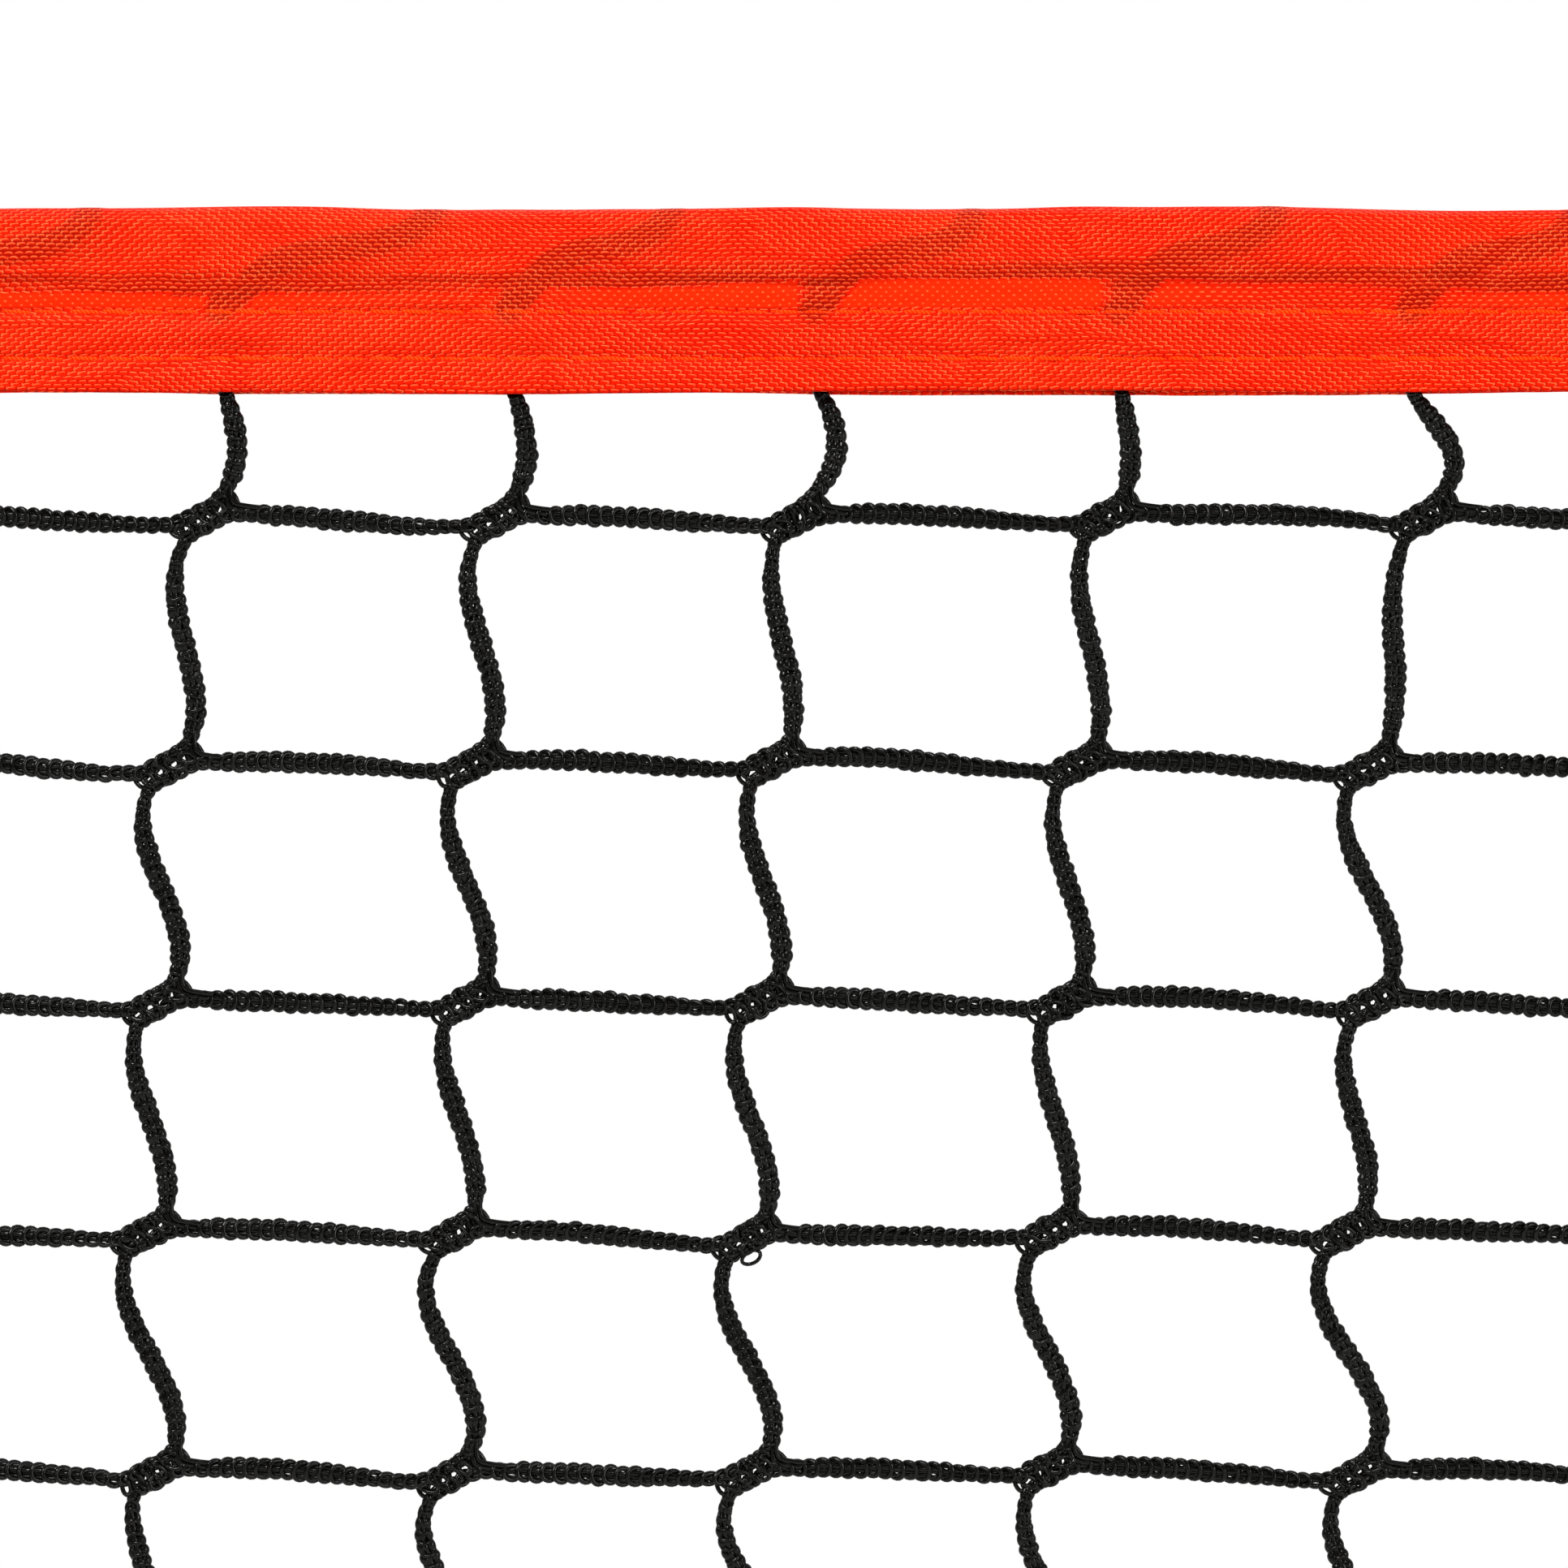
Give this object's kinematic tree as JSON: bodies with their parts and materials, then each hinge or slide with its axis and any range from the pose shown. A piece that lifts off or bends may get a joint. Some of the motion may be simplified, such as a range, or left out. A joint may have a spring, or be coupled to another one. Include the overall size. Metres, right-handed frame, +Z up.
{
  "type": "tennis net",
  "caption": "Portable mini-tennis net: square black knotless netting in an orange folded tape border, hung on a rope headline with thimble eyes, with a dowel in each side pocket.",
  "frame": {"origin": "on the headline rope's axis, half way along the net", "axes": "+X along the net to the viewer's right, +Z up, and the front of the net faces -Y"},
  "size_m": [3.1292, 0.0198, 0.6989],
  "materials": {
    "tape": "woven polyester oxford tape, red-orange, matt",
    "thread": "polyester sewing thread, slight sheen",
    "netting": "black knotless polyethylene cord, semi-gloss",
    "rope": "laid three-strand polyester rope, matt",
    "nickel": "nickel-plated, satin",
    "dowel": "oiled beech dowel",
    "cap": "moulded black plastic"
  },
  "bodies": {
    "headline": {"headline_rope": "rope", "left_ferrule": "nickel", "left_thimble": "nickel", "right_ferrule": "nickel", "right_thimble": "nickel"},
    "net_panel": {"headband": "tape", "headband_seam_upper": "thread", "headband_seam_lower": "thread", "netting_uprights": "netting", "netting_row_01": "netting", "netting_row_02": "netting", "netting_row_03": "netting", "netting_row_04": "netting", "netting_row_05": "netting", "netting_row_06": "netting", "netting_row_07": "netting", "netting_row_08": "netting", "netting_row_09": "netting", "netting_row_10": "netting", "netting_row_11": "netting", "netting_row_12": "netting", "netting_row_13": "netting", "netting_row_14": "netting", "netting_row_15": "netting", "netting_row_16": "netting", "netting_row_17": "netting", "netting_row_18": "netting", "bottom_tape": "tape", "left_side_tape": "tape", "left_dowel_pocket": "tape", "left_eyelet_1": "nickel", "left_eyelet_washer_1": "nickel", "left_eyelet_2": "nickel", "left_eyelet_washer_2": "nickel", "left_eyelet_3": "nickel", "left_eyelet_washer_3": "nickel", "left_eyelet_4": "nickel", "left_eyelet_washer_4": "nickel", "right_side_tape": "tape", "right_dowel_pocket": "tape", "right_eyelet_1": "nickel", "right_eyelet_washer_1": "nickel", "right_eyelet_2": "nickel", "right_eyelet_washer_2": "nickel", "right_eyelet_3": "nickel", "right_eyelet_washer_3": "nickel", "right_eyelet_4": "nickel", "right_eyelet_washer_4": "nickel"},
    "left_dowel_rod": {"left_dowel": "dowel", "left_dowel_cap": "cap"},
    "right_dowel_rod": {"right_dowel": "dowel", "right_dowel_cap": "cap"}
  },
  "joints": [
    {"name": "net_swing", "type": "hinge", "parent": "headline", "child": "net_panel", "pos_m": [0, 0, 0], "axis": [1, 0, 0], "range_deg": [-85, 85]},
    {"name": "left_dowel_slide", "type": "slide", "parent": "net_panel", "child": "left_dowel_rod", "axis": [0, 0, 1], "range_m": [0, 0.62]},
    {"name": "right_dowel_slide", "type": "slide", "parent": "net_panel", "child": "right_dowel_rod", "axis": [0, 0, 1], "range_m": [0, 0.62]}
  ]
}
